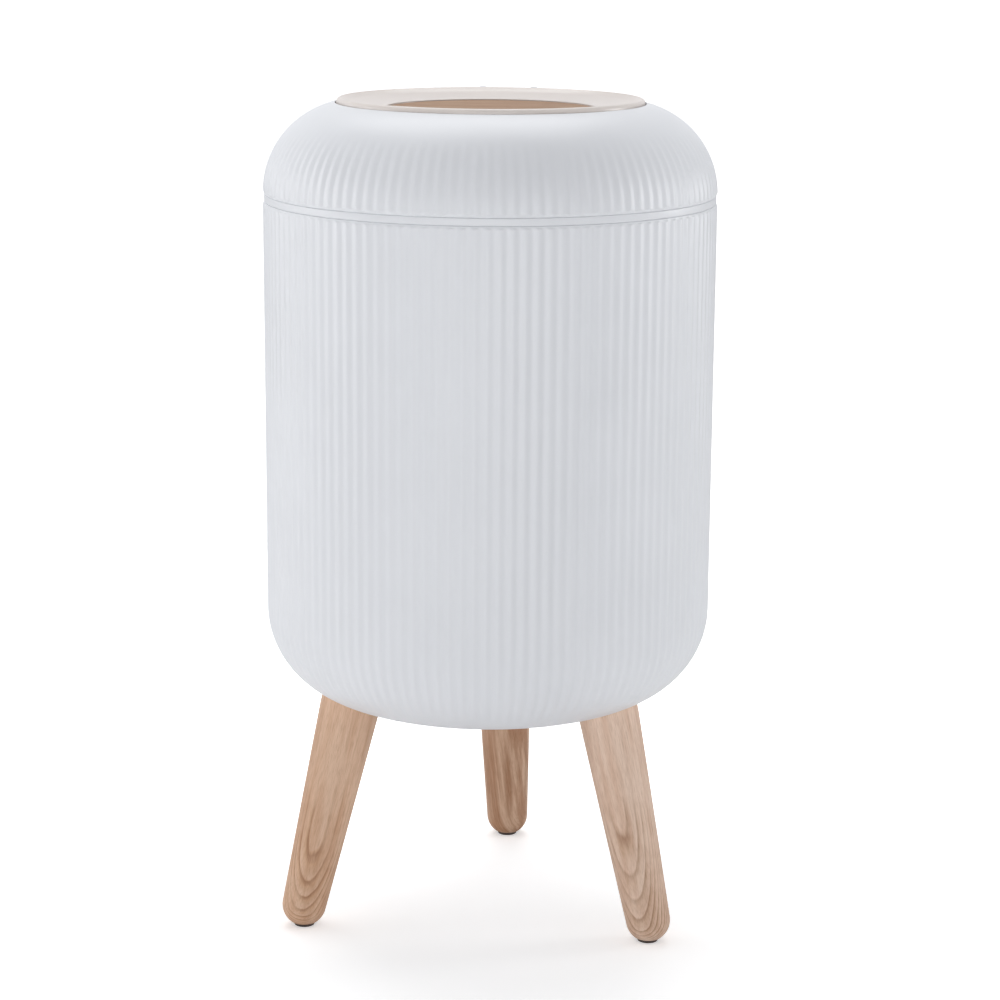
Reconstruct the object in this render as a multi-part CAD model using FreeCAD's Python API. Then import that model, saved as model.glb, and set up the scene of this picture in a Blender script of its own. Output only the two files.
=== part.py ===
import FreeCAD, Part
import math
import os

# Push-top waste bin: a fluted round body on three splayed legs, a lift-off domed lid and a sprung flap.
# Millimetres, +Z up. The origin is on the floor under the middle of the body, and the hinge is at +Y.

Vector = FreeCAD.Vector

# Overall form
overall_height = 444.0         # floor to the top of the flap's rim
body_radius = 120.0            # over the crests of the flutes
body_bottom_z = 122.0          # underside of the body
lid_height = 49.7              # upper edge of the band to the top of the flap's rim
bottom_round = 48.5            # rounding between the side and the underside
body_wall = 2.4
cut_overrun = 5.0              # how far a cutting shape passes the face it cuts

# Flutes
flute_count = 120
flute_depth = 0.6
flute_runout = 0.5             # the rounded form stands this far outside the crests, so flutes fade on it

# Legs, each described along its own axis from the floor upwards
leg_places = ("rear", "front_left", "front_right")
leg_splay = 14.0               # degrees from upright
leg_setback = 9.2              # from the body's side to where the leg's axis meets the floor
leg_top_height = 14.0          # middle of the leg's flat upper end, above the body's underside
leg_top_radius = 16.1
leg_end_radius = 11.9          # domed lower end
leg_end_z = 11.7               # middle of the dome
tenon_length = 16.0            # straight stretch at the top, plugged into the socket
socket_clearance = 0.2
socket_wall = 2.4
socket_roof = 3.0

# Leg fasteners
insert_radius = 4.5
insert_length = 20.0
insert_clearance = 0.05
insert_hole_extra = 3.0        # hole below the insert
leg_screw_radius = 2.9
leg_screw_length = 17.0        # below the socket's roof
leg_screw_clearance = 0.05
leg_screw_hole_clearance = 0.4
leg_screw_head_radius = 5.6
leg_screw_head_height = 3.2
drive_width = 4.0              # across the flats of the hexagon socket
drive_depth = 2.0

# Foot pads
pad_radius = 5.5
pad_thickness = 2.2
pad_edge = 0.5
pad_peg_radius = 2.0
pad_peg_length = 7.0
pad_peg_clearance = 0.1

# Bag ring
band_height = 4.1              # smooth band that shows between body and lid
band_edge = 0.45               # bevel on both edges of the band
ring_clearance = 0.4           # to the inside of the body and of the lid
ring_wall = 2.4
ring_skirt_depth = 16.0        # down into the body
ring_spigot_height = 5.5       # up into the lid
ring_lip_width = 4.0           # stiffening lip along the lower edge
ring_lip_height = 2.0

# Lid
lid_wall = 2.2
lid_straight = 0.5             # upright stretch above the band
crown_drop = 1.6               # from the flap's rim to the top of the lid's round
opening_setback = 38.1         # from the body's side to the lid's opening
boss_setback = 11.0            # from the opening to the screw bosses
boss_count = 4
lid_boss_radius = 4.2

# Throat collar
collar_wall = 2.4
collar_flange_drop = 21.4      # from the flap's rim to the underside of the flange
collar_flange_thickness = 2.4
collar_flange_reach = 17.0     # outward from the opening
seat_width = 3.0               # inward from the opening

# Collar screws
screw_radius = 1.25
screw_clearance = 0.05
screw_head_radius = 2.7
screw_head_height = 1.8
collar_screw_reach = 4.0       # into the lid's boss
screw_slot_width = 0.8
screw_slot_depth = 0.7

# Hinge, in a pocket at the rear
hinge_setback = 3.5            # behind the opening's edge
hinge_drop = 3.4               # from the flap's rim
hinge_pin_radius = 1.5
pin_press_clearance = 0.02
pin_running_clearance = 0.08
pin_end = 0.6                  # pin beyond each ear
knuckle_radius = 2.9
knuckle_inner_x = 8.6
knuckle_length = 3.6
knuckle_gap = 0.3
ear_thickness = 3.4
ear_radius = 3.3
pocket_margin = 0.6            # between an ear and the pocket's side
pocket_front_reach = 4.0       # inward from the opening's edge
pocket_back_reach = 6.0        # behind the hinge's axis
pocket_depth = 6.0             # below the hinge's axis
pocket_floor_thickness = 2.0
neck_depth = 2.2               # arm of the flap above and below the hinge's axis
neck_sink = 0.8                # the arm's root, inside the flap's edge

# Torsion spring round the pin
spring_wire_radius = 0.4
spring_turn_radius = 2.3
spring_turns = 9
spring_pitch = 1.4
spring_front_tail = 10.5        # forward under the flap
spring_rear_tail = 5.4          # back over the pocket's rib
spring_rib_width = 2.0
spring_rib_length = 3.0
spring_notch_half_width = 8.0
spring_notch_drop = 3.8        # from the flap's rim to the top of the notch

# Flap
flap_gap = 0.8                 # round the flap in the opening
rim_width = 2.6
rim_drop = 1.1                 # from the rim's crest to the start of the dish
dish_end_drop = 4.8            # from the rim's crest to the edge of the well
dish_wall = 2.2
dish_width = 25.8              # from the flap's edge to the well
well_wall = 2.2
well_depth = 12.0
skirt_wall = 1.8
skirt_depth = 16.0             # from the rim's crest
flap_boss_setback = 13.0       # outward from the well
flap_boss_radius = 3.6
flap_boss_hole_depth = 8.0

# Flap cover
cover_gap = 2.0                # to the seat's edge
cover_thickness = 2.0

# Push plate and wood disc
wood_gap = 0.6                 # round the disc in the well
wood_top_drop = 5.4            # from the rim's crest to the wood
wood_thickness = 3.2
wood_edge = 0.4
plate_gap = 1.2                # round the plate in the well
plate_thickness = 2.0
press_travel = 3.0
arm_half_width = 3.5
arm_height = 3.0
arm_clearance = 0.6            # round the arm in the well's slot
arm_beyond_post = 3.0
post_setback = 7.0             # from the seat's edge
post_radius = 2.6
post_hole_clearance = 0.5

# Springs under the push plate
plate_spring_setback = 19.8    # from the plate's edge
plate_spring_room = 8.0        # between the cover and the plate
plate_spring_count = 3
plate_spring_wire_radius = 0.35
plate_spring_turn_radius = 3.6
plate_spring_turns = 4
spring_seat_clearance = 0.15

# Seat bumpers
bumper_bearing = 30.0          # degrees from the X axis, mirrored to four places
bumper_radius = 1.25
bumper_gap = 0.3               # below the closed flap
bumper_stem_radius = 0.7
bumper_stem_clearance = 0.05

# Touch latch
latch_half_width = 9.0
latch_back_reach = 6.0         # from the plunger's axis towards the middle
latch_front_reach = 5.5        # from the plunger's axis towards the front
latch_height = 20.1
latch_gap = 0.3                # housing to strike plate
latch_floor = 2.4
latch_ear_end = 6.0            # beyond the screws
latch_ear_thickness = 2.4
latch_screw_x = 6.0
latch_screw_setback = 10.0     # outward from the seat's edge
plunger_radius = 3.0
plunger_clearance = 0.3
plunger_length = 10.6
plunger_gap = 0.4              # below the push plate's post
latch_spring_wire_radius = 0.3
latch_spring_turn_radius = 2.2
latch_spring_turns = 4
magnet_inner_x = 4.4
magnet_width = 3.6
magnet_depth_y = 7.5
magnet_height = 4.0
strike_thickness = 1.0
strike_half_width = 8.8
strike_back_reach = 4.0        # from the plunger's axis
strike_front_reach = 3.5

# Places that follow from the sizes above
up = Vector(0, 0, 1)
origin = Vector(0, 0, 0)
band_top_z = overall_height - lid_height
band_bottom_z = band_top_z - band_height
body_top_z = band_bottom_z
shoulder_centre_z = band_top_z + lid_straight
shoulder_round = lid_height - lid_straight - crown_drop
lid_hole_radius = body_radius - opening_setback
lid_inner_radius = body_radius - flute_depth - lid_wall
lid_inner_round = shoulder_round - lid_wall - flute_runout - flute_depth
lid_inner_centre_radius = lid_inner_radius - lid_inner_round
boss_circle_radius = lid_hole_radius + boss_setback
boss_bearings = [(index + 0.5) * 360 / boss_count for index in range(boss_count)]

leg_bearings = {place: 90 + index * 360 / len(leg_places) for index, place in enumerate(leg_places)}
leg_axis_radius = body_radius - leg_setback
leg_top_z = body_bottom_z + leg_top_height
splay_angle = math.radians(leg_splay)
leg_length = leg_top_z / math.cos(splay_angle)
insert_hole_depth = insert_length + insert_hole_extra
leg_end_along = leg_end_z / math.cos(splay_angle)
pad_axis_radius = leg_axis_radius - leg_end_z * math.tan(splay_angle)

collar_top_z = shoulder_centre_z + math.sqrt(lid_inner_round ** 2
                                             - (lid_hole_radius - lid_inner_centre_radius) ** 2)
collar_flange_z = overall_height - collar_flange_drop
collar_seat_z = collar_flange_z + collar_flange_thickness
collar_flange_radius = lid_hole_radius + collar_flange_reach
seat_radius = lid_hole_radius - seat_width
bumper_bearings = (bumper_bearing, 180 - bumper_bearing, 180 + bumper_bearing, -bumper_bearing)

hinge_y = lid_hole_radius + hinge_setback
hinge_z = overall_height - hinge_drop
pocket_half_width = knuckle_inner_x + knuckle_length + knuckle_gap + ear_thickness + pocket_margin
pocket_front_y = lid_hole_radius - pocket_front_reach
pocket_back_y = hinge_y + pocket_back_reach
pocket_floor_z = hinge_z - pocket_depth
ear_inner_x = knuckle_inner_x + knuckle_length + knuckle_gap
spring_half_length = spring_pitch * spring_turns / 2
spring_tail_z = hinge_z - spring_turn_radius
spring_notch_top_z = overall_height - spring_notch_drop

flap_radius = lid_hole_radius - flap_gap
neck_root_y = flap_radius - neck_sink
rim_crest_radius = flap_radius - rim_width / 2
dish_start_radius = flap_radius - rim_width
dish_start_z = overall_height - rim_drop
dish_end_z = overall_height - dish_end_drop
well_radius = flap_radius - dish_width
skirt_bottom_z = overall_height - skirt_depth
flap_boss_circle_radius = well_radius + flap_boss_setback

wood_radius = well_radius - wood_gap
wood_top_z = overall_height - wood_top_drop
plate_radius = well_radius - plate_gap
plate_top_z = wood_top_z - wood_thickness
plate_bottom_z = plate_top_z - plate_thickness
plate_spring_circle_radius = plate_radius - plate_spring_setback
cover_radius = seat_radius - cover_gap
cover_top_z = plate_bottom_z - plate_spring_room
cover_bottom_z = cover_top_z - cover_thickness
post_y = post_setback - seat_radius
arm_end_y = post_y - arm_beyond_post
arm_bottom_z = plate_top_z - arm_height

strike_bottom_z = cover_bottom_z - strike_thickness
strike_back_y = post_y + strike_back_reach
strike_front_y = post_y - strike_front_reach
latch_top_z = strike_bottom_z - latch_gap
latch_bottom_z = latch_top_z - latch_height
latch_back_y = post_y + latch_back_reach
latch_front_y = post_y - latch_front_reach
latch_screw_y = -seat_radius - latch_screw_setback
latch_ear_end_y = latch_screw_y - latch_ear_end
plunger_top_z = latch_top_z - plunger_gap
plunger_bottom_z = plunger_top_z - plunger_length


def turned(start, *steps):
    """Solid of revolution about Z. A step is a corner (r, z), or an arc's middle and end ((r, z), (r, z))."""
    edges = []
    here = Vector(start[0], 0, start[1])
    for step in steps + (start,):
        if isinstance(step[0], tuple):
            middle = Vector(step[0][0], 0, step[0][1])
            there = Vector(step[1][0], 0, step[1][1])
            edges.append(Part.Arc(here, middle, there).toShape())
        else:
            there = Vector(step[0], 0, step[1])
            edges.append(Part.LineSegment(here, there).toShape())
        here = there
    return Part.Face(Part.Wire(edges)).revolve(origin, up, 360)


def on_round(centre, radius, degrees):
    """Point of a circle in the (r, z) plane, at an angle from the outward direction."""
    angle = math.radians(degrees)
    return (centre[0] + radius * math.cos(angle), centre[1] + radius * math.sin(angle))


def block(x_low, x_high, y_low, y_high, z_low, z_high):
    """Upright box between two opposite corners."""
    corner = Vector(x_low, y_low, z_low)
    return Part.makeBox(x_high - x_low, y_high - y_low, z_high - z_low, corner)


def rod(radius, x, y, z_low, z_high):
    """Upright cylinder between two heights."""
    return Part.makeCylinder(radius, z_high - z_low, Vector(x, y, z_low), up)


def cross_rod(radius, x_low, x_high, y, z):
    """Cylinder along X between two places."""
    return Part.makeCylinder(radius, x_high - x_low, Vector(x_low, y, z), Vector(1, 0, 0))


def polar(radius, bearing):
    """X and Y at a radius and a bearing in degrees."""
    angle = math.radians(bearing)
    return radius * math.cos(angle), radius * math.sin(angle)


def fluted_prism(low, high):
    """Upright prism whose outline is a row of shallow flutes between crests."""
    step = 360.0 / flute_count
    edges = []
    for index in range(flute_count):
        bearing = index * step
        crest = Vector(*polar(body_radius, bearing))
        groove = Vector(*polar(body_radius - flute_depth, bearing + step / 2))
        next_crest = Vector(*polar(body_radius, bearing + step))
        edges.append(Part.Arc(crest, groove, next_crest).toShape())
    prism = Part.Face(Part.Wire(edges)).extrude(Vector(0, 0, high - low))
    prism.translate(Vector(0, 0, low))
    return prism


def cup_form(radius, floor_z, rounding, top_z):
    """Filled round body with a rounded lower edge."""
    centre = (radius - rounding, floor_z + rounding)
    return turned((0, floor_z), (radius - rounding, floor_z),
                  (on_round(centre, rounding, -45), (radius, floor_z + rounding)),
                  (radius, top_z), (0, top_z))


def dome_form(radius, edge_z, rounding):
    """Filled round dome whose shoulder is an arc."""
    centre = (radius - rounding, shoulder_centre_z)
    return turned((0, edge_z), (radius, edge_z), (radius, shoulder_centre_z),
                  (on_round(centre, rounding, 45), (radius - rounding, shoulder_centre_z + rounding)),
                  (0, shoulder_centre_z + rounding))


def on_leg(shape, bearing):
    """Carries a shape from a leg's own axis to the leg's place."""
    placed = shape.copy()
    placed.rotate(origin, Vector(0, 1, 0), -leg_splay)
    placed.translate(Vector(leg_axis_radius, 0, 0))
    placed.rotate(origin, up, bearing)
    return placed


def biarc_wire(points, tangents):
    """Wire of tangent arcs through points with given directions, two arcs to a span."""
    edges = []
    for first, second, start, end in zip(points, points[1:], tangents, tangents[1:]):
        chord = second - first
        both = start + end
        a = 2 * (1 - start.dot(end))
        b = 2 * chord.dot(both)
        c = -chord.dot(chord)
        reach = -c / b if abs(a) < 1e-9 else (-b + math.sqrt(b * b - 4 * a * c)) / (2 * a)
        joint = (first + second + (start - end) * reach) * 0.5
        edges.append(arc_from(first, start, joint))
        edges.append(arc_from(second, end * -1, joint))
    return edges


def arc_from(point, tangent, end):
    """Arc that leaves a point along a direction and passes through an end point."""
    chord = end - point
    along = chord.dot(tangent)
    square = chord.dot(chord)
    sideways = chord - tangent * along
    radius = square / (2 * sideways.Length)
    inward = sideways.normalize()
    centre = point + inward * radius
    halfway = (point + end) * 0.5 - centre
    middle = centre + halfway.normalize() * radius
    return Part.Arc(point, middle, end).toShape()


def wire_spring(turn_radius, wire_radius, pitch, turns, lead_in=None, lead_out=None):
    """Coil about Z from z = 0 as one unbroken tube, with straight tails of given lengths at its two ends."""
    spans = 4 * turns
    points = []
    tangents = []
    rise = pitch / (2 * math.pi)
    for index in range(spans + 1):
        angle = index * math.pi / 2
        points.append(Vector(turn_radius * math.cos(angle), turn_radius * math.sin(angle), rise * angle))
        direction = Vector(-turn_radius * math.sin(angle), turn_radius * math.cos(angle), rise)
        tangents.append(direction.normalize())
    edges = biarc_wire(points, tangents)
    start, heading = points[0], tangents[0]
    if lead_in:
        start = points[0] - tangents[0] * lead_in
        edges.insert(0, Part.LineSegment(start, points[0]).toShape())
    if lead_out:
        edges.append(Part.LineSegment(points[-1], points[-1] + tangents[-1] * lead_out).toShape())
    section = Part.Wire([Part.Circle(start, heading, wire_radius).toShape()])
    spring = Part.Wire(Part.__sortEdges__(edges)).makePipeShell([section], True, False)
    print("spring gap between turns", round(pitch - 2 * wire_radius, 2))
    return spring


def hexagon(width, low, high):
    """Upright hexagonal prism on the Z axis."""
    corner_radius = width / math.sqrt(3)
    corners = [Vector(*polar(corner_radius, 60 * k)) for k in range(7)]
    prism = Part.Face(Part.makePolygon(corners)).extrude(Vector(0, 0, high - low))
    prism.translate(Vector(0, 0, low))
    return prism


def pan_screw(x, y, head_z, shank_top_z):
    """Slotted screw driven upwards: head below head_z, shank above it."""
    head_low = head_z - screw_head_height
    screw = rod(screw_head_radius, x, y, head_low, head_z).fuse(rod(screw_radius, x, y, head_z, shank_top_z))
    slot = block(x - screw_head_radius, x + screw_head_radius, y - screw_slot_width / 2,
                 y + screw_slot_width / 2, head_low, head_low + screw_slot_depth)
    return screw.cut(slot).removeSplitter()


def bin_body():
    """Thin fluted shell with three leg sockets moulded into its floor."""
    outer = cup_form(body_radius + flute_runout, body_bottom_z, bottom_round, body_top_z)
    outer = outer.common(fluted_prism(body_bottom_z - cut_overrun, body_top_z))
    inner_radius = body_radius - flute_depth - body_wall
    inner_floor_z = body_bottom_z + body_wall
    inner = cup_form(inner_radius, inner_floor_z, bottom_round - body_wall, body_top_z + cut_overrun)
    socket_radius = leg_top_radius + socket_clearance
    boss = Part.makeCylinder(socket_radius + socket_wall, leg_length + socket_roof)
    screw_hole = Part.makeCylinder(leg_screw_radius + leg_screw_hole_clearance,
                                   leg_length + socket_roof + cut_overrun)
    socket = Part.makeCylinder(socket_radius, leg_length).fuse(screw_hole)
    for bearing in leg_bearings.values():
        inner = inner.cut(on_leg(boss, bearing))
    shell = outer.cut(inner)
    for bearing in leg_bearings.values():
        shell = shell.cut(on_leg(socket, bearing))
    return shell


def leg(bearing):
    """Turned leg: straight tenon, slow taper and domed end, cut flat over its pad."""
    shoulder = leg_length - tenon_length
    dome_mid = on_round((0, leg_end_along), leg_end_radius, -45)
    shape = turned((0, leg_end_along - leg_end_radius), (dome_mid, (leg_end_radius, leg_end_along)),
                   (leg_top_radius, shoulder), (leg_top_radius, leg_length), (0, leg_length))
    hole_radius = insert_radius + insert_clearance
    shape = shape.cut(Part.makeCylinder(hole_radius, insert_hole_depth,
                                        Vector(0, 0, leg_length - insert_hole_depth)))
    shape = on_leg(shape, bearing)
    reach = leg_axis_radius + leg_top_radius
    shape = shape.cut(block(-reach, reach, -reach, reach, -leg_end_radius, pad_thickness))
    x, y = polar(pad_axis_radius, bearing)
    return shape.cut(rod(pad_peg_radius + pad_peg_clearance, x, y, 0, pad_thickness + pad_peg_length))


def leg_insert(bearing):
    """Brass sleeve with the screw's thread, pressed into the top of a leg."""
    bottom = Vector(0, 0, leg_length - insert_length)
    sleeve = Part.makeCylinder(insert_radius, insert_length, bottom)
    bore = Part.makeCylinder(leg_screw_radius + leg_screw_clearance, insert_length, bottom)
    return on_leg(sleeve.cut(bore), bearing)


def leg_screw(bearing):
    """Socket-head screw from inside the body down into the leg's insert."""
    head_z = leg_length + socket_roof
    shank = Part.makeCylinder(leg_screw_radius, leg_screw_length + socket_roof,
                              Vector(0, 0, leg_length - leg_screw_length))
    head = Part.makeCylinder(leg_screw_head_radius, leg_screw_head_height, Vector(0, 0, head_z))
    head_top = head_z + leg_screw_head_height
    drive = hexagon(drive_width, head_top - drive_depth, head_top)
    return on_leg(shank.fuse(head).cut(drive).removeSplitter(), bearing)


def foot_pad(bearing):
    """Rubber pad with a peg that plugs into the leg."""
    x, y = polar(pad_axis_radius, bearing)
    pad = turned((0, 0), (pad_radius - pad_edge, 0), (pad_radius, pad_edge), (pad_radius, pad_thickness),
                 (pad_peg_radius, pad_thickness), (pad_peg_radius, pad_thickness + pad_peg_length),
                 (0, pad_thickness + pad_peg_length))
    pad.translate(Vector(x, y, 0))
    return pad


def bag_ring():
    """Ring that clamps the bag: skirt in the body, smooth band between the seams, spigot in the lid."""
    skirt_radius = body_radius - flute_depth - body_wall - ring_clearance
    spigot_radius = body_radius - flute_depth - lid_wall - ring_clearance
    inner_radius = skirt_radius - ring_wall
    skirt_z = band_bottom_z - ring_skirt_depth
    spigot_z = band_top_z + ring_spigot_height
    lip_radius = inner_radius - ring_lip_width
    return turned((lip_radius, skirt_z), (skirt_radius, skirt_z), (skirt_radius, band_bottom_z),
                  (body_radius - band_edge, band_bottom_z), (body_radius, band_bottom_z + band_edge),
                  (body_radius, band_top_z - band_edge), (body_radius - band_edge, band_top_z),
                  (spigot_radius, band_top_z), (spigot_radius, spigot_z), (inner_radius, spigot_z),
                  (inner_radius, skirt_z + ring_lip_height), (lip_radius, skirt_z + ring_lip_height))


def hinge_pocket(low, high):
    """Space cleared at the rear of the lid for the hinge."""
    return block(-pocket_half_width, pocket_half_width, pocket_front_y, pocket_back_y, low, high)


def lid_shell():
    """Fluted dome with a round opening, four screw bosses inside and a notch for the hinge."""
    outer = dome_form(body_radius + flute_runout, band_top_z, shoulder_round)
    outer = outer.common(fluted_prism(band_top_z, overall_height + cut_overrun))
    inner = dome_form(lid_inner_radius, band_top_z - cut_overrun, lid_inner_round)
    for bearing in boss_bearings:
        x, y = polar(boss_circle_radius, bearing)
        inner = inner.cut(rod(lid_boss_radius, x, y, collar_seat_z, overall_height))
    shell = outer.cut(inner)
    shell = shell.cut(rod(lid_hole_radius, 0, 0, collar_seat_z, overall_height + cut_overrun))
    for bearing in boss_bearings:
        x, y = polar(boss_circle_radius, bearing)
        hole_top = collar_seat_z + collar_screw_reach
        shell = shell.cut(rod(screw_radius + screw_clearance, x, y, collar_seat_z - cut_overrun, hole_top))
    return shell.cut(hinge_pocket(collar_seat_z, overall_height + cut_overrun))


def throat_collar(lid):
    """Liner of the opening with the flap's seat, a flange screwed to the lid, and the hinge's ears."""
    tube_radius = lid_hole_radius + collar_wall
    collar = turned((lid_hole_radius, collar_top_z), (tube_radius, collar_top_z), (tube_radius, collar_seat_z),
                    (collar_flange_radius, collar_seat_z), (collar_flange_radius, collar_flange_z),
                    (seat_radius, collar_flange_z), (seat_radius, collar_seat_z),
                    (lid_hole_radius, collar_seat_z))
    collar = collar.cut(hinge_pocket(pocket_floor_z, collar_top_z + cut_overrun))
    side = pocket_half_width + collar_wall
    back = pocket_back_y + collar_wall
    housing = block(-side, side, lid_hole_radius, back, pocket_floor_z - pocket_floor_thickness, overall_height)
    housing = housing.cut(rod(lid_hole_radius, 0, 0, collar_seat_z, overall_height))
    housing = housing.cut(hinge_pocket(pocket_floor_z, overall_height))
    housing = housing.common(dome_form(lid_inner_radius, band_top_z, lid_inner_round))
    collar = collar.fuse(housing)
    for side_sign in (-1, 1):
        faces = sorted((side_sign * ear_inner_x, side_sign * (ear_inner_x + ear_thickness)))
        post = block(faces[0], faces[1], hinge_y - ear_radius, hinge_y + ear_radius, pocket_floor_z, hinge_z)
        ear = post.fuse(cross_rod(ear_radius, faces[0], faces[1], hinge_y, hinge_z))
        collar = collar.fuse(ear.cut(rod(lid_hole_radius, 0, 0, pocket_floor_z, overall_height)))
    reach = ear_inner_x + ear_thickness + cut_overrun
    collar = collar.cut(cross_rod(hinge_pin_radius + pin_press_clearance, -reach, reach, hinge_y, hinge_z))
    for bearing in boss_bearings:
        x, y = polar(boss_circle_radius, bearing)
        collar = collar.cut(rod(screw_radius + screw_clearance, x, y, collar_flange_z, collar_seat_z))
    for bearing in bumper_bearings:
        x, y = polar((seat_radius + lid_hole_radius) / 2, bearing)
        hole_radius = bumper_stem_radius + bumper_stem_clearance
        collar = collar.cut(rod(hole_radius, x, y, collar_flange_z, collar_seat_z))
    for x in (-latch_screw_x, latch_screw_x):
        hole_radius = screw_radius + screw_clearance
        collar = collar.cut(rod(hole_radius, x, latch_screw_y, collar_flange_z, collar_seat_z))
    rib_top_z = spring_tail_z - spring_wire_radius - spring_seat_clearance
    rib = block(spring_half_length - spring_rib_width / 2, spring_half_length + spring_rib_width / 2,
                pocket_back_y - spring_rib_length, pocket_back_y, pocket_floor_z, rib_top_z)
    return collar.fuse(rib).cut(lid).removeSplitter()


def collar_screws():
    """Screws that hold the collar up against the lid's bosses."""
    screws = []
    for bearing in boss_bearings:
        x, y = polar(boss_circle_radius, bearing)
        screws.append(pan_screw(x, y, collar_flange_z, collar_seat_z + collar_screw_reach))
    return Part.makeCompound(screws)


def seat_bumpers():
    """Soft stops on the seat, each with a stem through it."""
    bumpers = []
    for bearing in bumper_bearings:
        x, y = polar((seat_radius + lid_hole_radius) / 2, bearing)
        pad = rod(bumper_radius, x, y, collar_seat_z, skirt_bottom_z - bumper_gap)
        bumpers.append(pad.fuse(rod(bumper_stem_radius, x, y, collar_flange_z, collar_seat_z)))
    return Part.makeCompound(bumpers)


def hinge_pin():
    """Steel pin pressed into the two ears."""
    reach = ear_inner_x + ear_thickness + pin_end
    return cross_rod(hinge_pin_radius, -reach, reach, hinge_y, hinge_z)


def torsion_spring():
    """Coil round the pin, one tail forward under the flap's rib and one back over the pocket's rib."""
    coil = wire_spring(spring_turn_radius, spring_wire_radius, spring_pitch, spring_turns,
                       lead_in=spring_front_tail, lead_out=spring_rear_tail)
    coil.translate(Vector(0, 0, -spring_half_length))
    coil.rotate(origin, Vector(0, 1, 0), 90)
    coil.translate(Vector(0, hinge_y, hinge_z))
    return coil


def flap_dish():
    """Cream dish with a rounded rim, a skirt, a well for the push plate and the hinge's knuckles."""
    slope = (dish_start_z - dish_end_z) / (dish_start_radius - well_radius)
    outer_well = well_radius + well_wall
    skirt_inner = flap_radius - skirt_wall
    well_bottom_z = dish_end_z - well_depth
    under_outer_z = dish_end_z + slope * (skirt_inner - well_radius) - dish_wall
    under_inner_z = dish_end_z + slope * well_wall - dish_wall
    rim_round = rim_width / 2
    rim_centre = (rim_crest_radius, overall_height - rim_round)
    dish = turned((well_radius, dish_end_z), (dish_start_radius, dish_start_z),
                  (on_round(rim_centre, rim_round, 120), (rim_crest_radius, overall_height)),
                  (on_round(rim_centre, rim_round, 45), (flap_radius, overall_height - rim_round)),
                  (flap_radius, skirt_bottom_z), (skirt_inner, skirt_bottom_z), (skirt_inner, under_outer_z),
                  (outer_well, under_inner_z), (outer_well, well_bottom_z), (well_radius, well_bottom_z))
    for bearing in boss_bearings:
        x, y = polar(flap_boss_circle_radius, bearing)
        boss_top = dish_end_z + slope * (flap_boss_circle_radius - well_radius) - dish_wall / 2
        dish = dish.fuse(rod(flap_boss_radius, x, y, cover_top_z, boss_top))
        hole_top = cover_top_z + flap_boss_hole_depth
        dish = dish.cut(rod(screw_radius + screw_clearance, x, y, cover_top_z, hole_top))
    for side_sign in (-1, 1):
        faces = sorted((side_sign * knuckle_inner_x, side_sign * (knuckle_inner_x + knuckle_length)))
        neck = block(faces[0], faces[1], neck_root_y - skirt_wall, hinge_y,
                     hinge_z - neck_depth, hinge_z + neck_depth)
        knuckle = cross_rod(knuckle_radius, faces[0], faces[1], hinge_y, hinge_z)
        dish = dish.fuse(neck.fuse(knuckle))
    reach = knuckle_inner_x + knuckle_length + cut_overrun
    dish = dish.cut(cross_rod(hinge_pin_radius + pin_running_clearance, -reach, reach, hinge_y, hinge_z))
    notch = block(-spring_notch_half_width, spring_notch_half_width, neck_root_y - cut_overrun,
                  flap_radius + cut_overrun, skirt_bottom_z - cut_overrun, spring_notch_top_z)
    dish = dish.cut(notch)
    rib_front_y = hinge_y - spring_front_tail
    rib = block(-spring_half_length - spring_rib_width / 2, -spring_half_length + spring_rib_width / 2,
                rib_front_y, rib_front_y + spring_rib_length,
                spring_tail_z + spring_wire_radius + spring_seat_clearance, under_outer_z)
    dish = dish.fuse(rib)
    slot_half = arm_half_width + arm_clearance
    slot = block(-slot_half, slot_half, arm_end_y, -plate_radius + cut_overrun,
                 arm_bottom_z - press_travel - arm_clearance, plate_top_z + arm_clearance)
    return dish.cut(slot).removeSplitter()


def flap_cover():
    """Round underside of the flap, screwed to the dish's bosses."""
    cover = rod(cover_radius, 0, 0, cover_bottom_z, cover_top_z)
    for bearing in boss_bearings:
        x, y = polar(flap_boss_circle_radius, bearing)
        cover = cover.cut(rod(screw_radius + screw_clearance, x, y, cover_bottom_z, cover_top_z))
    return cover.cut(rod(post_radius + post_hole_clearance, 0, post_y, cover_bottom_z, cover_top_z))


def flap_screws():
    """Screws from below through the cover into the dish's bosses."""
    screws = []
    for bearing in boss_bearings:
        x, y = polar(flap_boss_circle_radius, bearing)
        screws.append(pan_screw(x, y, cover_bottom_z, cover_top_z + flap_boss_hole_depth / 2))
    return Part.makeCompound(screws)


def strike_plate():
    """Steel plate under the front of the cover that the latch's magnets hold."""
    plate = block(-strike_half_width, strike_half_width, strike_front_y, strike_back_y,
                  strike_bottom_z, cover_bottom_z)
    return plate.cut(rod(post_radius + post_hole_clearance, 0, post_y, strike_bottom_z, cover_bottom_z))


def push_plate():
    """Plate under the wood disc, with an arm through the well's slot and a post over the latch's plunger."""
    plate = rod(plate_radius, 0, 0, plate_bottom_z, plate_top_z)
    arm = block(-arm_half_width, arm_half_width, arm_end_y, -plate_radius + arm_half_width,
                arm_bottom_z, plate_top_z)
    post = rod(post_radius, 0, post_y, latch_top_z, arm_bottom_z)
    return plate.fuse([arm, post]).removeSplitter()


def wood_disc():
    """Wood-faced disc glued to the push plate, its upper edge eased."""
    return turned((0, plate_top_z), (wood_radius, plate_top_z), (wood_radius, wood_top_z - wood_edge),
                  (wood_radius - wood_edge, wood_top_z), (0, wood_top_z))


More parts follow.
